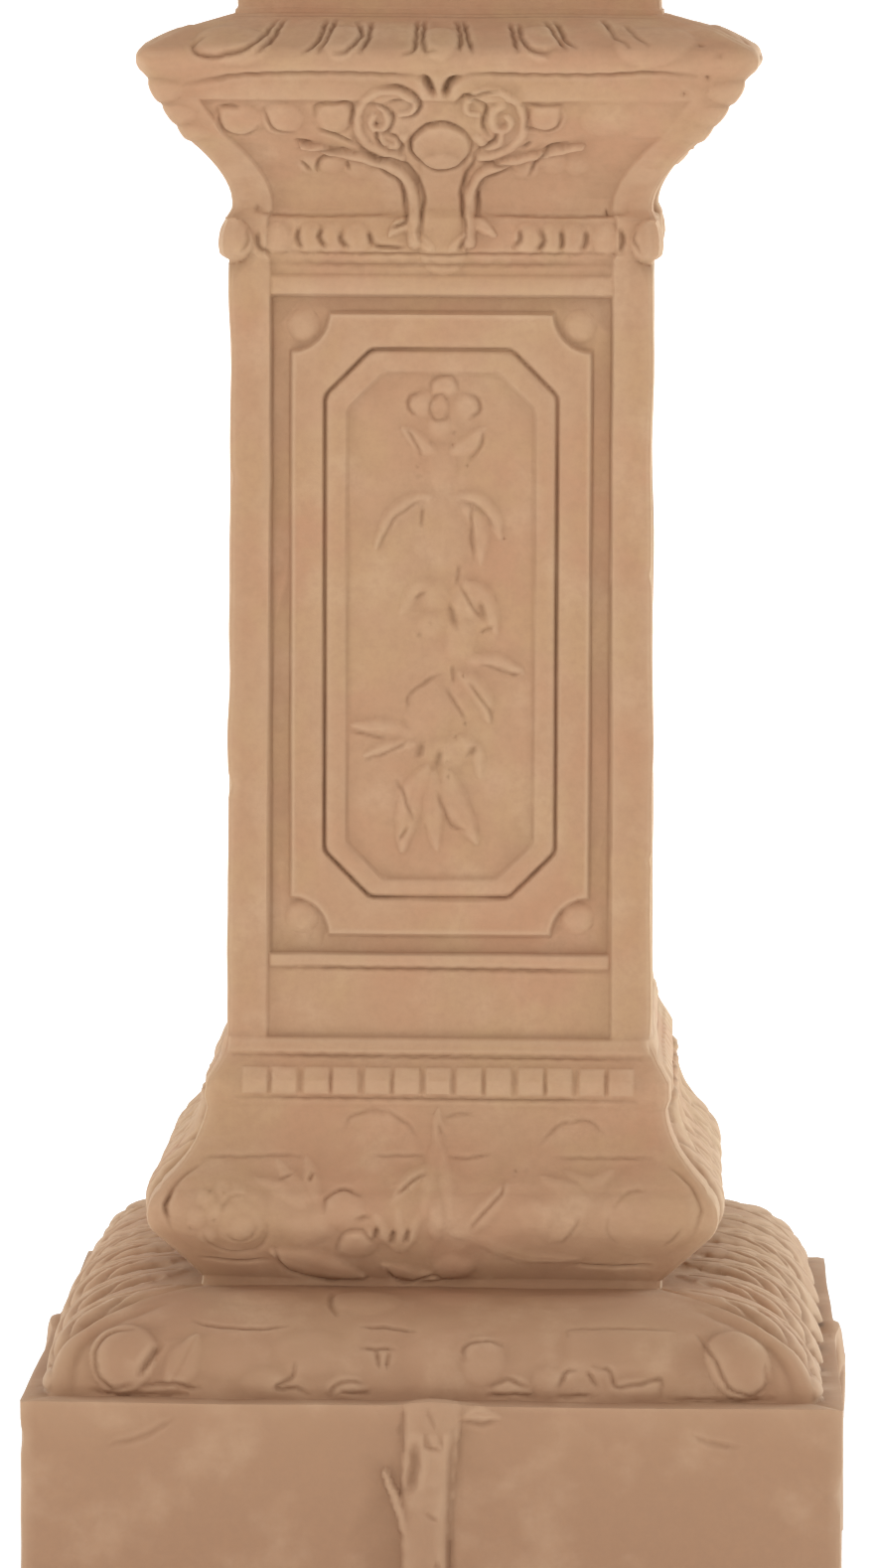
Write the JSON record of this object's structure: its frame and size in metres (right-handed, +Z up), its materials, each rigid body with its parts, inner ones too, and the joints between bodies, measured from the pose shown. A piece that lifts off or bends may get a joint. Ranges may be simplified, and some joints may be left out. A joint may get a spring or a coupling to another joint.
{
  "type": "terracotta pedestal column",
  "caption": "Square pressed terracotta pedestal column: plain plinth, leaf-carved cushions, panelled shaft with a flower spray, and a flared capital with eggs, volutes and a medallion.",
  "frame": {"origin": "centre of the square underside", "axes": "+Z up along the column, -Y out of the front face with the flower spray, +X to the right of it"},
  "size_m": [0.4602, 0.4602, 0.9],
  "materials": {
    "terracotta": "matte, unglazed"
  },
  "bodies": {
    "root": {"column": "terracotta"}
  },
  "joints": []
}
